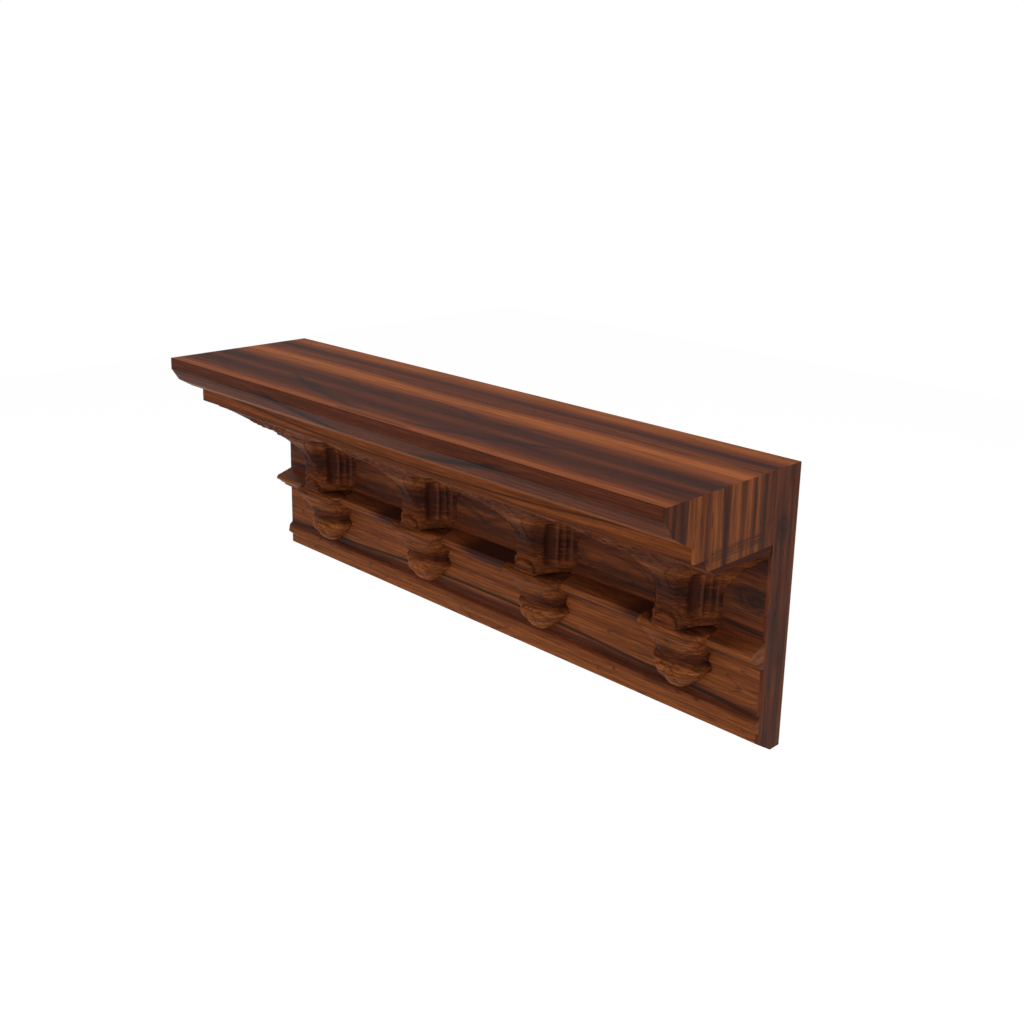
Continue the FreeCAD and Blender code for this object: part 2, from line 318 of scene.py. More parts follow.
# the bands' colours by the shifted place, times streaks of noise, darkened by clouds and by lines, each
# line a thin slice of a slow noise about its middle
def drawFigure(tree, at, look):
    low, high = look["bands"][0][0], look["bands"][-1][0]
    place = calc(tree, "DIVIDE", calc(tree, "SUBTRACT", at["shifted"], low), high - low)
    stops = [((bandPlace - low) / (high - low), tone[shade]) for bandPlace, shade in look["bands"]]
    colour = ramp(tree, place, stops)
    for stretch, pitch, strength, turn in look["streaks"]:
        streak = grain(tree, at, stretch, pitch, turn, figure["streakDetail"])
        shade = step(tree, streak, *figure["streakRange"], 1 - strength, 1 + strength * figure["streakLift"])
        colour = mix(tree, 1.0, colour, vector(tree, shade, shade, shade), "MULTIPLY")
    for stretch, pitch, least, most, strength, turn in look["clouds"]:
        cloud = grain(tree, at, stretch, pitch, turn, figure["cloudDetail"])
        colour = mix(tree, step(tree, cloud, least, most, 0.0, strength), colour, tone["ink"])
    for stretch, pitch, width, strength, turn in look.get("lines", ()):
        slow = grain(tree, at, stretch, pitch, turn, figure["lineDetail"])
        colour = mix(tree, lineAt(tree, slow, 0.5, width, strength), colour, tone["ink"])
    return colour


# single marks, each a curved line: across = centre + lean run + curve run squared, with run counted from
# its start; and knots, ovals darkened by a sine of the distance from their heart
def drawMarks(tree, at, look, colour):
    for centre, lean, curve, width, start, end, strength, shade in look.get("marks", ()):
        run = calc(tree, "SUBTRACT", at["along"], start)
        slope = calc(tree, "MULTIPLY_ADD", run, -curve, -lean)
        line = calc(tree, "MULTIPLY_ADD", run, slope, at["shifted"])
        fade = (end - start) * figure["markFade"]
        rise = (start - 1, start + (fade if start > 0 else 0))
        amount = calc(tree, "MULTIPLY", lineAt(tree, line, centre, width, strength),
                      between(tree, at["along"], rise, (end - fade, end)))
        colour = mix(tree, amount, colour, tone[shade])
    for centre, size, strength in look.get("knots", ()):
        away = ovalDistance(tree, at["along"], at["across"], centre, size)
        wobble = grain(tree, at, *figure["knotNoise"], figure["knotDetail"], "across")
        turns = calc(tree, "MULTIPLY_ADD", wobble, figure["knotWobble"], away)
        waves = calc(tree, "SINE", calc(tree, "MULTIPLY", turns, figure["knotWaves"]))
        dark = calc(tree, "MULTIPLY", step(tree, away, *figure["knotEdge"], strength, 0.0),
                    calc(tree, "MULTIPLY_ADD", waves, figure["knotRipple"], figure["knotDark"]))
        colour = mix(tree, dark, colour, tone["ink"])
    # where the fibres turn across the grain: streaks inside a window along and across
    for start, end, first, last, strength in look.get("turned", ()):
        stretch, pitch = figure["turnedNoise"]
        edge, side = figure["turnedEdge"], figure["turnedSide"]
        place = vector(tree, calc(tree, "MULTIPLY", at["across"], stretch),
                       calc(tree, "MULTIPLY", at["along"], pitch), at["seed"])
        streak = noise(tree, place, *figure["turnedDetail"])
        streak = step(tree, streak, *figure["turnedRange"], strength, 0.0)
        inside = calc(tree, "MULTIPLY", between(tree, at["along"], (start, start + edge), (end - edge, end)),
                      between(tree, at["across"], (first, first + side), (last - side, last)))
        colour = mix(tree, calc(tree, "MULTIPLY", inside, streak), colour, tone["umber"])
    return colour


# y plus the panel's place, which is less the distance that a point stands out from the panel
def lessOut(tree, at):
    return calc(tree, "ADD", at["y"], shelf["ground"])


# painted light and shade: dark corners of painted shade, which begin where x less slant times the distance
# from the panel passes start; stripes of painted sheen and shade down the shafts, each a line at a distance
# from the shaft's middle less the distance from the panel; and painted shade, streaked like end grain, on
# the last crown's end face past x = end and above z = 45
def drawPaintedLight(tree, at, look, colour):
    # painted shade in the ledge corners left of the blocks
    for start, end, slant, strength in look.get("corners", ()):
        edge = calc(tree, "MULTIPLY_ADD", lessOut(tree, at), slant, at["x"])
        rise = step(tree, edge, start, start + figure["cornerRamp"])
        fall = step(tree, at["x"], end - figure["cornerEdge"], end, strength, 0.0)
        colour = mix(tree, calc(tree, "MULTIPLY", rise, fall), colour, tone["umber"])
    # painted sheen on the flank rolls and painted shade in the hollow, inside the shaft's window
    if "sheenAndShadeStripes" in look:
        beside = calc(tree, "PINGPONG", calc(tree, "SUBTRACT", at["x"], pilasters[0]), bayWidth / 2)
        plane = calc(tree, "ADD", beside, lessOut(tree, at))
        shaft = between(tree, at["z"], figure["shaftRise"], figure["shaftFall"])
        for place, width, strength, shade in look["sheenAndShadeStripes"]:
            core = width * figure["stripeCore"]
            stripe = step(tree, distance(tree, plane, place), core, width, strength, 0.0)
            colour = mix(tree, calc(tree, "MULTIPLY", shaft, stripe), colour, tone[shade])
    # painted shade on the last crown's end face, streaked like end grain
    if "end" in look:
        stretch, pitch = figure["endNoise"]
        place = vector(tree, calc(tree, "MULTIPLY", at["z"], stretch),
                       calc(tree, "MULTIPLY", at["y"], pitch), at["seed"])
        lighter = step(tree, noise(tree, place), *figure["endRange"])
        endShade = mix(tree, lighter, tone["umber"], tone["brown"])
        endFace = calc(tree, "MULTIPLY", step(tree, at["x"], look["end"] - figure["endEdge"], look["end"]),
                       step(tree, at["z"], *figure["endFrom"]))
        colour = mix(tree, endFace, colour, endShade)
    return colour


# a wood: its figure, marks and painted light and shade in that order, then pores of fine noise, which
# darken it, roughen it and are pressed in by a bump
def makeWood(name, look):
    material, tree = newMaterial(name)
    at = grainPlaces(tree, look)
    colour = drawPaintedLight(tree, at, look, drawMarks(tree, at, look, drawFigure(tree, at, look)))
    pores = grain(tree, at, *figure["poreNoise"], figure["poreDetail"])
    pore = step(tree, pores, *figure["poreRange"], look.get("pores", figure["pores"]), 0.0)
    surface = tree.nodes.new("ShaderNodeBsdfPrincipled")
    tree.links.new(mix(tree, pore, colour, tone["pore"]), surface.inputs["Base Color"])
    surface.inputs["Specular IOR Level"].default_value = look["specular"]
    spread = calc(tree, "SUBTRACT", pores, 0.5)
    rough = calc(tree, "MULTIPLY_ADD", spread, figure["roughSpread"], look["roughness"])
    tree.links.new(rough, surface.inputs["Roughness"])
    bump = tree.nodes.new("ShaderNodeBump")
    bump.inputs["Distance"].default_value = figure["poreDepth"]
    bump.inputs["Strength"].default_value = figure["poreBump"]
    tree.links.new(calc(tree, "SUBTRACT", 1.0, pore), bump.inputs["Height"])
    tree.links.new(bump.outputs[0], surface.inputs["Normal"])
    showShader(tree, surface)
    return material


brushed = {"pitch": (300, 300, 2500), "spread": 0.2}


# one colour, with a roughness of its own plus spread times noise drawn out along the piece
def makePlain(name, colour, metallic, roughness):
    material, tree = newMaterial(name)
    coordinates = tree.nodes.new("ShaderNodeTexCoord")
    stretched = tree.nodes.new("ShaderNodeVectorMath")
    stretched.operation = "MULTIPLY"
    stretched.inputs[1].default_value = brushed["pitch"]
    tree.links.new(coordinates.outputs["Object"], stretched.inputs[0])
    streaks = noise(tree, stretched.outputs[0])
    surface = tree.nodes.new("ShaderNodeBsdfPrincipled")
    surface.inputs["Base Color"].default_value = (*colour, 1)
    surface.inputs["Metallic"].default_value = metallic
    rough = calc(tree, "MULTIPLY_ADD", streaks, brushed["spread"], roughness)
    tree.links.new(rough, surface.inputs["Roughness"])
    showShader(tree, surface)
    return material


# How a look is read. across: the shares of the side and of y in the place across the grain. bands: place
# across and tone. bows: height, reach along, centre and width across. streaks: stretch, pitch, strength,
# turn. clouds: stretch, pitch, from and to in the noise, strength, turn. lines: stretch, pitch, half
# width, strength, turn. marks: centre, lean, curve, half width, from and to along the grain, strength,
# tone. knots: centre, half axes, strength. turned: from and to along, from and to across, strength.
# corners, painted shade: from and to along x, slant, strength. stripes, painted sheen and shade: place, half
# width, strength, tone.
topLook = {
    "grain": "x", "across": (0.0, 1.0), "wander": 6.0, "seed": 0.0, "roughness": 0.5, "specular": 0.012,
    "bands": ((-160, "amber"), (-156, "amber"), (-151, "amber"), (-147, "rust"), (-142, "brown"),
              (-132, "umber"), (-122, "umber"), (-112, "brown"), (-104, "umber"), (-97, "umber"),
              (-90, "brown"), (-84, "rust"), (-76, "amber"), (-69, "honey"), (-60, "honey"), (-56, "amber"),
              (-51, "rust"), (-46, "brown"), (-38, "brown"), (-30, "umber"), (-25, "brown"), (-20, "rust"),
              (-15, "amber"), (-9, "honey"), (2, "honey")),
    "bows": ((7.0, 120, -53, 14), (-4.5, 150, -88, 12)),
    "streaks": ((0.008, 0.18, 0.24, 3.0), (0.02, 0.7, 0.20, 9.0), (0.05, 2.6, 0.12, 13.0)),
    "clouds": ((0.006, 0.045, 0.56, 0.80, 0.55, 2.0), (0.02, 0.12, 0.60, 0.80, 0.35, 31.0)),
    "marks": ((-86, 0.0, -0.0034, 3.4, 0, 62, 0.75, "ink"), (-95.5, 0.25, 0.0, 2.4, 88, 135, 0.6, "ink"),
              (-145, 0.0, 0.0015, 5.5, 12, 190, 0.75, "ink"), (-139, 0.0, 0.0015, 3.0, 10, 150, 0.4, "ink"),
              (-38, 0.0, -0.0003, 1.8, 140, 292, 0.6, "amber"),
              (-43, 0.0, -0.0003, 1.3, 165, 292, 0.6, "honey"),
              (-41, 0.0, -0.0003, 0.9, 165, 280, 0.5, "ink"), (-30, 0.0, 0.0, 5, 150, 330, 0.6, "ink"),
              (-26.5, 0.0, 0.0, 2.2, 0, 60, 0.5, "ink"), (-155, 0.0, 0.0, 4, 0, 52, 0.7, "umber"),
              (-1.5, 0.0, 0.0, 2.5, 12, 105, 0.8, "ink"), (-101, 0.0, 0.0, 9, 225, 345, 0.6, "ink"),
              (-150, 0.0, 0.0003, 0.9, 60, 330, 0.4, "brown")),
    "pores": 0.25}
corniceLook = {
    "grain": "x", "across": (1.0, 0.0), "wander": 3.0, "seed": 4.0, "roughness": 0.45, "specular": 0.03,
    "bands": ((57, "rust"), (59, "amber"), (61.5, "honey"), (63.5, "amber"), (65, "honey"), (66.3, "rust"),
              (68, "amber"), (71, "honey"), (74, "honey"), (77, "amber"), (77.8, "gold"), (83, "gold"),
              (87, "honey"), (91.5, "rust"), (94, "rust"), (97, "rust"), (101, "brown"), (104, "brown"),
              (108, "brown"), (112, "brown"), (115, "umber")),
    "streaks": ((0.010, 0.45, 0.30, 3.0), (0.03, 1.6, 0.28, 9.0), (0.06, 4.0, 0.3, 14.0)),
    "clouds": ((0.012, 0.2, 0.56, 0.78, 0.5, 6.0),),
    "marks": ((91.5, 0.04, 0.0007, 4.0, 30, 170, 0.9, "ink"), (97, 0.03, 0.0005, 2.0, 60, 200, 0.6, "ink"),
              (103.5, 0.0, 0.00005, 1.0, 20, 330, 0.4, "ink"),
              (69.5, 0.0, 0.00014, 2.0, 0, 300, 0.85, "umber"),
              (72.5, 0.0, 0.0001, 0.8, 0, 200, 0.5, "umber"), (62.0, 0.0, 0.0001, 1.6, 0, 230, 0.85, "umber"),
              # the last mark below is painted shade: umber on the bed board's front near both ends, under the
              # fillet
              (58.0, 0.0, 0.0, 1.2, 120, 330, 0.8, "ink"), (62.0, 0.0, 0.0, 9.0, 283, 330, 1.0, "umber")),
    "knots": (((30, 62), (60, 4), 0.8),)}
friezeLook = {
    "grain": "x", "across": (1.0, 0.0), "middle": 6.0, "wander": 5.0, "seed": 7.0, "roughness": 0.45,
    "specular": 0.05,
    "bands": ((-116, "honey"), (-105, "honey"), (-96, "honey"), (-89, "honey"), (-86, "amber"), (-83, "rust"),
              (-79, "brown"), (-76, "rust"), (-72, "honey"), (-64, "honey"), (-56, "amber"), (-48, "honey"),
              (-40, "amber"), (-36, "rust"), (-32, "honey"), (-28, "honey"), (-20, "rust"), (-12, "brown"),
              (-6, "rust"), (0, "amber"), (6, "rust"), (14, "brown"), (20, "amber"), (26, "rust"),
              (34, "brown"), (42, "umber"), (60, "brown")),
    "bows": ((-5.0, 60, -4, 16),),
    "streaks": ((0.012, 0.35, 0.34, 3.0), (0.03, 1.3, 0.30, 9.0), (0.06, 3.4, 0.2, 14.0)),
    "clouds": ((0.012, 0.07, 0.54, 0.74, 0.6, 1.0),),
    "lines": ((0.010, 0.07, 0.012, 0.6, 5.0),),
    "marks": ((-70.5, 0.0, -0.00012, 2.6, 0, 330, 0.95, "ink"),
              (-67.5, 0.0, -0.00012, 0.8, 30, 290, 0.5, "umber"),
              (-78.5, 0.02, 0.0, 1.6, 0, 330, 0.5, "umber"), (-41, 0.0, 0.0004, 2.0, 15, 120, 0.5, "umber"),
              (-8, 0.55, -0.005, 5.5, 0, 56, 0.6, "ink"), (3, 0.40, -0.003, 3.6, 0, 60, 0.4, "ink"),
              (-15, 0.35, -0.003, 3.0, 0, 60, 0.4, "umber"), (4, -0.10, 0.0, 5.0, 84, 128, 0.6, "ink"),
              (-9, -0.04, 0.0, 3.5, 256, 320, 0.8, "amber"), (-14, -0.05, 0.0, 1.8, 258, 330, 0.95, "ink")),
    "knots": (((290, 10), (34, 17), 0.9),)}
capLook = {
    "grain": "z", "across": (0.0, 1.0), "mirror": False, "wander": 3.5, "seed": 11.0,
    "roughness": 0.45, "specular": 0.05,
    "bands": ((-160, "brown"), (-153, "rust"), (-149, "umber"), (-147, "rust"), (-140, "umber"),
              (-136.5, "brown"), (-133, "honey"), (-125, "honey"), (-117, "amber"), (-110, "rust"),
              (-106, "honey"), (-97, "honey"), (-93.5, "rust"), (-90.5, "umber"), (-87.5, "rust"),
              (-84, "honey"), (-76, "honey"), (-70, "rust"), (-64, "honey"), (-58, "rust"), (-51, "honey"),
              (-47, "rust"), (-43.5, "umber"), (-40, "amber"), (-33, "rust"), (-27, "rust"), (-20, "brown"),
              (-14, "rust"), (-9, "brown"), (-3, "rust"), (0, "amber")),
    "streaks": ((0.014, 0.22, 0.40, 3.0), (0.02, 1.0, 0.24, 9.0), (0.05, 3.4, 0.24, 14.0)),
    "clouds": ((0.014, 0.10, 0.56, 0.76, 0.65, 8.0),),
    "lines": ((0.011, 0.10, 0.012, 0.5, 5.0),),
    "marks": ((-106.5, 0.0, 0.0, 0.9, 87, 101, 0.8, "ink"), (-55.5, -0.03, 0.0, 1.4, 62, 125, 0.85, "ink"),
              (-89.6, -0.065, 0.0, 1.8, 50, 125, 0.6, "ink"), (-43.5, -0.02, 0.0, 2.2, 68, 125, 0.6, "ink"),
              (-8, 0.03, 0.0, 3.0, -110, 40, 0.5, "ink"), (-21, -0.03, 0.0, 3.0, -60, 20, 0.5, "ink"),
              (-3, 0.01, 0.0, 1.2, -115, 115, 0.5, "amber"), (-110.2, 0.0, 0.0, 3.6, 46, 70, 1.0, "umber")),
    "knots": (((67.5, -18.7), (16.0, 11.0), 0.8), ((-30, -14), (30, 6), 0.6)),
    "turned": ((62.0, 71.5, -108, -40, 0.85),)}
carvingLook = {
    "grain": "x", "across": (1.0, 0.22), "mirror": False, "wander": 3.5, "seed": 15.0, "roughness": 0.42,
    # end: where the last crown's end face begins, which takes painted shade
    "specular": 0.016, "end": 302.0,
    "bands": ((-95, "honey"), (-86, "gold"), (-76, "honey"), (-68, "gold"), (-64, "amber"), (-60, "brown"),
              (-55, "rust"), (-50, "honey"), (-44, "honey"), (-40, "amber"), (-35, "gold"), (-31.5, "rust"),
              (-27, "amber"), (-22, "amber"), (-18, "amber"), (-15, "rust"), (-12, "rust"), (-8, "brown"),
              (-2, "umber"), (4, "brown"), (9, "rust"), (14, "honey"), (19, "amber"), (24, "rust"),
              (30, "amber"), (40, "rust"), (60, "brown")),
    "streaks": ((0.012, 0.35, 0.38, 3.0), (0.02, 1.1, 0.38, 9.0), (0.05, 3.0, 0.25, 14.0)),
    "clouds": ((0.02, 0.10, 0.56, 0.76, 0.5, 8.0),),
    "lines": ((0.012, 0.09, 0.014, 0.6, 5.0), (0.02, 0.17, 0.09, 0.38, 9.0)),
    # painted sheen: pale stripes down the rolls of the shaft flanks; painted shade: the umber stripe in the
    # hollow beside the front
    "sheenAndShadeStripes": ((26.0, 2.2, 0.36, "paintedSheen"), (18.0, 2.4, 0.2, "paintedSheen"), (9.2, 2.8, 0.42, "paintedSheen"),
                (-0.5, 9.0, 0.85, "umber")),
    "pores": 0.25}
backLook = dict(friezeLook, seed=21.0, roughness=0.6, pores=0.5)
# painted shade: left of each block but the first, the ledge is darkened over this reach, where the gap beside
# the block lies in shadow
corners = [(middle - reach, middle, -0.45, 1.0) for middle, reach in zip(pilasters[1:], (74, 100, 62))]
ledgeLook = dict(friezeLook, corners=corners)

topWood = makeWood("topWood", topLook)
corniceWood = makeWood("corniceWood", corniceLook)
friezeWood = makeWood("friezeWood", friezeLook)
capWood = makeWood("capWood", capLook)
carvingWood = makeWood("carvingWood", carvingLook)
ledgeWood = makeWood("ledgeWood", ledgeLook)
backWood = makeWood("backWood", backLook)
steel = makePlain("platedSteel", (0.60, 0.59, 0.56), 1.0, 0.3)
tongueWood = makePlain("tongueWood", (0.30, 0.17, 0.09), 0.0, 0.6)

woods = {"shelf_board": topWood, "fillet_board": corniceWood, "bed_board": corniceWood,
         "end_cap_left": capWood, "end_cap_right": capWood, "back_board": backWood,
         "frieze_panel": friezeWood, "bead_moulding": friezeWood, "tongues": tongueWood,
         "bracket_screws": steel, "hanger_screws": steel, "hanger_plate_left": steel,
         "hanger_plate_right": steel}
for nodeName, node in nodes.items():
    material = woods.get(nodeName, ledgeWood if nodeName.startswith("ledge") else carvingWood)
    node.data.materials.clear()
    node.data.materials.append(material)
# the tops of the shelf board and its caps take the broad bands, and their other faces their own wood
for nodeName, sides in (("shelf_board", corniceWood), ("end_cap_left", capWood), ("end_cap_right", capWood)):
    part = nodes[nodeName].data
    part.materials.clear()
    part.materials.append(topWood)
    part.materials.append(sides)
    for face in part.polygons:
        isTop = face.normal.z > 0.9 and face.center.z * 1000 > shelf["top"] - 1
        face.material_index = 0 if isTop else 1
print("materials", len(bpy.data.materials))


# Carving. Each piece is rings of points drawn about its shaft's middle: rel runs along the shelf,
# out comes forward from the frieze panel, and z is 0 at the top of the shelf and less than 0 below it.

# columns of the table at new places along the run, with corners rounded by weights 1, 2, 1 over 4
def spread(table, run, at, rounding):
    columns = []
    for values in np.asarray(table, float).T:
        values = np.interp(at, run, values)
        for _ in range(rounding):
            values[1:-1] = (values[:-2] + 2 * values[1:-1] + values[2:]) / 4
        columns.append(values[:, None])
    return columns


# smooth random relief from -1 to 1 with one swell to each unit of u and v: S curves between the four
# values of a random lattice round each point
def swells(u, v, seed, size=64):
    lattice = np.random.RandomState(seed).uniform(-1, 1, (size, size))
    iu, iv = np.floor(u).astype(int) % size, np.floor(v).astype(int) % size
    nextU, nextV = (iu + 1) % size, (iv + 1) % size
    fu, fv = smooth(0, 1, u - np.floor(u)), smooth(0, 1, v - np.floor(v))
    low = lattice[iu, iv] * (1 - fu) + lattice[nextU, iv] * fu
    high = lattice[iu, nextV] * (1 - fu) + lattice[nextU, nextV] * fu
    return low * (1 - fv) + high * fv


# x is the pilaster's middle plus rel, y the panel's face less out, never behind it, and z the top plus z
def placeRings(rel, out, z, middle):
    z = np.broadcast_to(z, rel.shape)
    return np.stack([middle + rel, -shelf["ground"] - np.maximum(out, 0), z + shelf["top"]], -1)


# A pair of pairs is a window, which opens over the first pair and shuts over the second. Heights are
# raised and depths are cut.
bracketShape = {
    "rings": 230, "flank": 120, "front": 90, "rounding": 6, "round": 8,
    # height, half width at the panel and at the front as shares of the reach to the crown, and how far
    # it stands out
    "sections": ((-136, 0.350, 0.150, 28.4), (-134.9, 0.352, 0.150, 28.4), (-134.6, 0.386, 0.180, 31.2),
                 (-134.2, 0.387, 0.176, 31.0), (-132, 0.380, 0.158, 29.5), (-123, 0.375, 0.150, 29.5),
                 (-117, 0.375, 0.124, 30.0), (-108, 0.375, 0.118, 31.1), (-100, 0.415, 0.118, 34.5),
                 (-94, 0.482, 0.130, 38.1), (-88.5, 0.562, 0.155, 42.0), (-83.5, 0.669, 0.221, 46.0),
                 (-79, 0.763, 0.315, 50.6), (-75.5, 0.835, 0.402, 54.0), (-69.5, 0.945, 0.549, 62.1),
                 (-67.5, 1.0, 0.600, 64.4), (-62.2, 1.0, 1.0, 68.0), (-57.15, 1.0, 1.0, 77.1)),
    # where the arrises turn sharp, the share of a line along the shelf that makes it front, and where
    # relief fades
    "sharpCrown": (-76, -66), "frontTurn": (0.55, 0.9), "wallFade": (0, 2.5), "topFade": (-59.5, -57.6),
    # the shaft's flanks: rolls and hollows (place, width, height), the crown's lip and the hanging leaf
    "shaft": ((-127, -123), (-86, -84)),
    "rolls": ((26.0, 5.0, 0.6), (18.0, 6.0, 0.5), (9.2, 6.0, 0.9), (22.0, 6.0, -0.5), (13.5, 7.0, -0.4),
              (-0.5, 17.0, -2.6)),
    "lip": ((-86, -84), (-77, -70)), "lipEdge": (-12, -6), "lipHeight": 1.5,
    "leaf": ((-96, -88), (-82, -76)), "leafReach": ((0.0, 3.0), (12, 22)), "leafHeight": 1.4,
    # the front: a curl beside each arris, a notch in the middle, and leafage with gouge cuts over it
    "curl": ((-104, -98), (-79, -73)), "curlLean": 0.20, "curlStart": -98, "curlPlace": 1.5,
    "curlWidth": 4.5, "curlDepth": 1.5,
    "notch": (-2.0, -97.5), "notchSize": (6, 12), "notchDepth": 1.0,
    "leafage": ((-84, -76), (-64.0, -62.0)), "leafageHalf": (46, 60), "leafageHeart": -104,
    "ribs": 15, "ribSway": 0.6, "swayPitch": 3.0, "ribHeight": 0.9, "scallopPitch": 1.4,
    "scallopHeight": 0.6, "lumpSize": (3.6, 3.0), "lumpStart": (20, 60), "lumpSeed": 4, "lumpHeight": 0.9,
    "gougePitch": 2.4, "gougeRow": (-60.9, 3.4), "gougeHalf": (50, 60), "gougeDepth": 2.2,
    # the foot: the waist's bead and groove (place, width, height), the swelling and the neck under it
    "waist": -117.2, "dip": 1.7, "dipPlace": (1, 22), "bead": (0, 3.2, 1.1), "groove": (-3.4, 4.6, 1.3),
    "flankLoss": 0.35, "swelling": (-127, 12, 0.8), "neck": (-135.2, 3.2, 1.5), "neckReach": (18, 34),
    # the boss on its front, with a groove round it
    "boss": 12.0, "bossHeight": 2.8, "bossFoot": -136.0, "rimGap": 1.4, "rimWidth": 4.0, "rimDepth": 2.2,
    "bossFade": (-136, -132),
    # how far the flanks' undersides are lifted, and the cove beside the panel
    "lift": 1.0, "liftReach": (17, 38), "liftFade": (-136, -131.5),
    "cove": ((-134, -124), (-92, -80)), "coveWidth": 10, "coveReach": 5.0,
    # how the last crown is cut back beside the end cap's leg
    "endGap": 2.4, "endGapFade": (1.0, 1.3), "endGapHeight": ((-80, -76), (-58.5, -57.6))}


# flank relief: the sum of the rolls' humps over plane, which is |rel| less out, inside the shaft's
# window, plus the crown's lip over them and the leaf that hangs over the hollow
def flankRelief(rel, out, z, fromFront, flank):
    shape = bracketShape
    plane = np.abs(rel) - out
    rolls = sum(height * hump(plane, place, width) for place, width, height in shape["rolls"])
    d = window(z, *shape["shaft"]) * flank * rolls
    d = d + shape["lipHeight"] * flank * window(z, *shape["lip"]) * smooth(*shape["lipEdge"], plane)
    leaf = window(z, *shape["leaf"]) * window(fromFront, *shape["leafReach"])
    return d + shape["leafHeight"] * flank * leaf


# front relief: less the curl and the notch, plus leafage whose ribs are a cosine of the angle about a
# heart in the shaft, cut across by scallops, a cosine of the distance from it, and made uneven by
# swells, less a row of gouge cuts under the bed board
def frontRelief(rel, z, inside, frontness):
    shape = bracketShape
    side = inside - shape["curlLean"] * (z - shape["curlStart"])
    curl = window(z, *shape["curl"]) * hump(side, shape["curlPlace"], shape["curlWidth"])
    d = -shape["curlDepth"] * frontness * curl
    (notchX, notchZ), (notchWide, notchHigh) = shape["notch"], shape["notchSize"]
    d = d - shape["notchDepth"] * frontness * hump(rel, notchX, notchWide) * hump(z, notchZ, notchHigh)
    rise = z - shape["leafageHeart"]
    away, turn = np.hypot(rel, rise), np.arctan2(rel, rise)
    ribs = np.cos(turn * shape["ribs"] + shape["ribSway"] * np.sin(away / shape["swayPitch"]))
    scallops = np.cos(away * shape["scallopPitch"]) * (0.5 + 0.5 * ribs)
    (wide, high), (startU, startV) = shape["lumpSize"], shape["lumpStart"]
    lumps = swells(rel / wide + startU, z / high + startV, shape["lumpSeed"])
    leafage = window(z, *shape["leafage"]) * frontness * (1 - smooth(*shape["leafageHalf"], np.abs(rel)))
    d = d + leafage * (shape["ribHeight"] * ribs + shape["scallopHeight"] * scallops
                       + shape["lumpHeight"] * lumps)
    gouges = np.clip(np.cos(rel * shape["gougePitch"]), 0, 1) * hump(z, *shape["gougeRow"])
    return d - shape["gougeDepth"] * gouges * (1 - smooth(*shape["gougeHalf"], np.abs(rel)))


# foot relief: the waist's bead less its groove, both lowered by a dip at the front's edge, the swelling,
# less the neck, and on the front a boss, the square root of 1 less (away / radius) squared, in its groove
def footRelief(rel, z, fromFront, inside, frontness, flank):
    shape = bracketShape
    line = z - shape["waist"] + shape["dip"] * hump(fromFront - inside, *shape["dipPlace"])
    (beadPlace, beadWidth, beadHeight), (cutPlace, cutWidth, cutDepth) = shape["bead"], shape["groove"]
    d = beadHeight * hump(line, beadPlace, beadWidth) - cutDepth * hump(line, cutPlace, cutWidth)
    d = d * (1 - shape["flankLoss"] * flank)
    swellPlace, swellWidth, swellHeight = shape["swelling"]
    neckPlace, neckWidth, neckDepth = shape["neck"]
    d = d + swellHeight * flank * hump(z, swellPlace, swellWidth)
    d = d - neckDepth * flank * hump(z, neckPlace, neckWidth) * hump(fromFront, *shape["neckReach"])
    away = np.hypot(rel, z - shape["bossFoot"])
    dome = shape["bossHeight"] * np.sqrt(np.clip(1 - (away / shape["boss"]) ** 2, 0, 1))
    rim = shape["rimDepth"] * hump(away, shape["boss"] + shape["rimGap"], shape["rimWidth"])
    return d + frontness * (dome - rim) * smooth(*shape["bossFade"], z)


# each row blurred along itself by a bell, with its two ends held by turning the row about them
def blurred(rows, sigma):
    reach = int(3 * sigma)
    kernel = np.exp(-0.5 * (np.arange(-reach, reach + 1) / sigma) ** 2)
    kernel = kernel / kernel.sum()
    left = 2 * rows[:, :1] - rows[:, reach:0:-1]
    right = 2 * rows[:, -1:] - rows[:, -2:-reach - 2:-1]
    longer = np.concatenate([left, rows, right], 1)
    return sum(share * longer[:, i:i + rows.shape[1]] for i, share in enumerate(kernel))


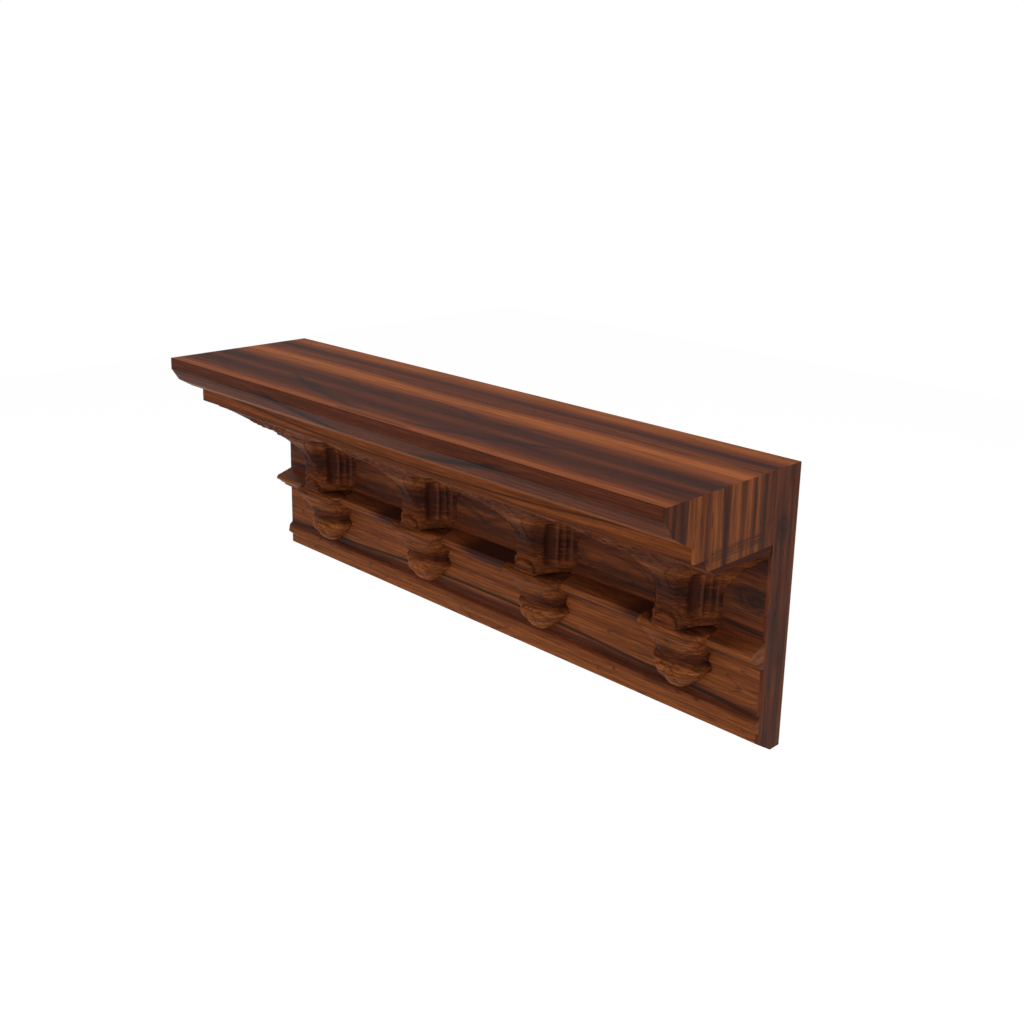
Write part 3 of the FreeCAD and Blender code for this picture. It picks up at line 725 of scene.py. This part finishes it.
# ring by ring, a line from the panel out along the left flank, over the front and back along the right
# flank, rounded at the arrises and then moved outwards, square to itself, by the relief
def carveBracket(number):
    shape = bracketShape
    isFirst, isLast = number == 0, number == shelf["bays"] - 1
    middle = pilasters[number]
    left = middle - (shelf["friezeLeft"] if isFirst else middle - bayWidth / 2)
    right = (shelf["friezeRight"] if isLast else middle + bayWidth / 2) - middle
    table = np.array(shape["sections"])
    at = np.linspace(table[0, 0], table[-1, 0], shape["rings"])
    z, wall, front, stand = spread(table, table[:, 0], at, shape["rounding"])
    flank = np.linspace(0, 1, shape["flank"])[None, :-1]
    across = np.linspace(0, 1, shape["front"])[None, :]
    rel = np.concatenate([-left * (wall + (front - wall) * flank),
                          -left * front + (left + right) * front * across,
                          right * (wall + (front - wall) * flank)[:, ::-1]], 1)
    out = np.concatenate([stand * flank, stand + 0 * across, (stand * flank)[:, ::-1]], 1)
    # the arrises are round on the shaft and stay sharp where neighbours meet at the crown
    eased = 1 - smooth(*shape["sharpCrown"], z)
    rel = rel + eased * (blurred(rel, shape["round"]) - rel)
    out = out + eased * (blurred(out, shape["round"]) - out)
    dRel, dOut = np.gradient(rel, axis=1), np.gradient(out, axis=1)
    length = np.hypot(dRel, dOut) + 1e-9
    run = np.cumsum(length, 1)
    fromWall = np.minimum(run - run[:, :1], run[:, -1:] - run)
    # distances to the nearer arris, from outside the front and from inside it
    first, last = shape["flank"] - 1, shape["flank"] + shape["front"] - 2
    past = np.maximum(run[:, first:first + 1] - run, run - run[:, last:last + 1])
    fromFront, inside = np.maximum(past, 0), np.maximum(-past, 0)
    frontness = smooth(*shape["frontTurn"], dRel / length)
    flankness = 1 - frontness
    d = (flankRelief(rel, out, z, fromFront, flankness) + frontRelief(rel, z, inside, frontness)
         + footRelief(rel, z, fromFront, inside, frontness, flankness))
    d = d * smooth(*shape["wallFade"], fromWall) * (1 - smooth(*shape["topFade"], z))
    if isLast:
        nearEnd = 1 - smooth(*shape["endGapFade"], run[:, -1:] - run)
        d = d - shape["endGap"] * nearEnd * window(z, *shape["endGapHeight"])
    # the foot stands on its front and the flanks' undersides are lifted clear of the block
    low = 1 - smooth(*shape["liftFade"], z)
    lift = shape["lift"] * flankness * hump(fromFront, *shape["liftReach"]) * low
    # and a cove runs out from each flank onto the panel
    nearWall = np.clip(1 - fromWall / shape["coveWidth"], 0, 1) ** 2
    cove = shape["coveReach"] * nearWall * window(z, *shape["cove"])
    rel = rel - d * dOut / length + np.sign(rel) * cove
    points = placeRings(rel, out + d * dRel / length, z + lift, middle)
    piece = addTube("carved_bracket_%d" % (number + 1), points, carvingWood)
    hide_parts("bracket_%d" % (number + 1))


# height, half width, how far it stands out, and how square the ring is (2 an ellipse, more squarer)
blockShape = {"rings": 60, "places": 140, "rounding": 2,
              "sections": ((-135.9, 21.0, 17.0, 5), (-136.0, 26.0, 25.0, 5), (-136.5, 29.6, 29.2, 5),
                           (-137.8, 31.1, 31.2, 5.5), (-140.5, 31.4, 32.0, 6), (-143, 30.6, 30.9, 6),
                           (-146, 28.3, 28.6, 5))}
pendantShape = {"rings": 170, "places": 160, "rounding": 2,
                "sections": ((-146, 28.2, 28.4, 5.0), (-150, 25.7, 27.2, 3.4), (-154, 24.3, 26.2, 2.5),
                             (-157.6, 23.8, 25.6, 2.2), (-158.3, 23.1, 24.6, 2.1), (-159.3, 23.0, 24.4, 2.1),
                             (-159.9, 23.7, 24.7, 2.1), (-161.3, 23.5, 24.0, 2.0), (-162.2, 22.6, 21.0, 2.0),
                             (-164, 22.0, 18.0, 2.0), (-166, 22.6, 18.0, 2.0), (-167.6, 24.3, 19.6, 2.1),
                             (-169.5, 25.6, 21.2, 2.2), (-172.5, 26.4, 22.6, 2.3), (-176, 24.0, 22.6, 2.4),
                             (-180, 19.8, 22.0, 2.4), (-184.5, 14.8, 19.0, 2.4), (-188.5, 10.2, 15.0, 2.2),
                             (-192, 5.4, 9.0, 2.0), (-194, 2.2, 4.0, 2.0)),
                # the bud: where it begins, its heart, and the lobes' count, depth and roundness
                "bud": (-167, -171), "heart": -164.5, "lobes": 4.5, "lobeDepth": 0.10, "lobeRound": 0.7}


# rings with |rel / width| to the power n plus |out / stand| to the power n equal to 1
def ringsOf(shape):
    table = np.array(shape["sections"])
    run = np.append(0, np.cumsum(np.hypot(np.diff(table[:, 0]), np.diff(table[:, 2]))))
    at = np.linspace(0, run[-1], shape["rings"])
    z, width, stand, power = spread(table, run, at, shape["rounding"])
    angle = np.linspace(math.pi, 0, shape["places"])[None, :]
    c, s = np.cos(angle), np.clip(np.sin(angle), 0, 1)
    reach = (np.abs(c) ** power + s ** power) ** (-1 / power)
    return width * c * reach, stand * s * reach, z


# the rings as they are, from the bottom up
def carveBlock(number):
    points = placeRings(*ringsOf(blockShape), pilasters[number])[::-1]
    piece = addTube("carved_base_block_%d" % (number + 1), points, carvingWood)
    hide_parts("base_block_%d" % (number + 1))


# rings drawn in between the bud's lobes: by lobeDepth times 1 less |cos(lobes angle)| to a power, with
# the angle counted about the bud's heart
def carvePendant(number):
    shape = pendantShape
    rel, out, z = ringsOf(shape)
    angle = np.arctan2(rel, shape["heart"] - z)
    lobes = np.abs(np.cos(angle * shape["lobes"])) ** shape["lobeRound"]
    scale = 1 - shape["lobeDepth"] * smooth(*shape["bud"], z) * (1 - lobes)
    points = placeRings(rel * scale, out * scale, z, pilasters[number])[::-1]
    piece = addTube("carved_pendant_%d" % (number + 1), points, carvingWood)
    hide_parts("pendant_%d" % (number + 1))


for number in range(shelf["bays"]):
    carveBracket(number)
    carveBlock(number)
    carvePendant(number)
print("carving done")


# Studio: white floor and sky, soft light from above and from the front. The sky is white where it is
# seen and weaker where it lights, and the floor glows in part where it is seen, over a plain colour
# that keeps the shadow. A lamp is its name, place, turn, width and power.
studio = {"skyLight": 0.55, "skySeen": 0.45, "floorHalf": 4.0, "floorLevel": -0.75,
          "floorColour": (0.9, 0.9, 0.9), "glow": 1.31, "glowShare": 0.6,
          "lamps": (("key", (0.2, -0.5, 1.4), (18, 6, 0), 1.2, 14),
                    ("front", (0.5, -1.8, 0.6), (74, 0, 15), 1.4, 8))}

world = bpy.data.worlds.new("world")
bpy.context.scene.world = world
world.use_nodes = True
tree = world.node_tree
tree.nodes.clear()
sky = tree.nodes.new("ShaderNodeBackground")
sky.inputs["Color"].default_value = (1, 1, 1, 1)
skyPower = calc(tree, "MULTIPLY_ADD", seenRays(tree), studio["skySeen"], studio["skyLight"])
feed(tree, skyPower, sky.inputs["Strength"])
showShader(tree, sky, "ShaderNodeOutputWorld")

floorData = bpy.data.meshes.new("floor")
half, level = studio["floorHalf"], studio["floorLevel"]
floorCorners = [(-half, -half, level), (half, -half, level), (half, half, level), (-half, half, level)]
floorData.from_pydata(floorCorners, [], [(0, 1, 2, 3)])
floor = bpy.data.objects.new("floor", floorData)
bpy.context.scene.collection.objects.link(floor)
floorMaterial, tree = newMaterial("floor")
diffuse = tree.nodes.new("ShaderNodeBsdfDiffuse")
feed(tree, studio["floorColour"], diffuse.inputs["Color"])
glow = tree.nodes.new("ShaderNodeEmission")
glow.inputs["Strength"].default_value = studio["glow"]
either = tree.nodes.new("ShaderNodeMixShader")
feed(tree, calc(tree, "MULTIPLY", seenRays(tree), studio["glowShare"]), either.inputs[0])
tree.links.new(diffuse.outputs[0], either.inputs[1])
tree.links.new(glow.outputs[0], either.inputs[2])
showShader(tree, either)
floorData.materials.append(floorMaterial)

for lampName, place, turn, width, power in studio["lamps"]:
    lamp = bpy.data.lights.new(lampName, "AREA")
    lamp.size = width
    lamp.energy = power
    holder = bpy.data.objects.new(lampName, lamp)
    holder.location = place
    holder.rotation_euler = [math.radians(angle) for angle in turn]
    bpy.context.scene.collection.objects.link(holder)
print("stage ready")
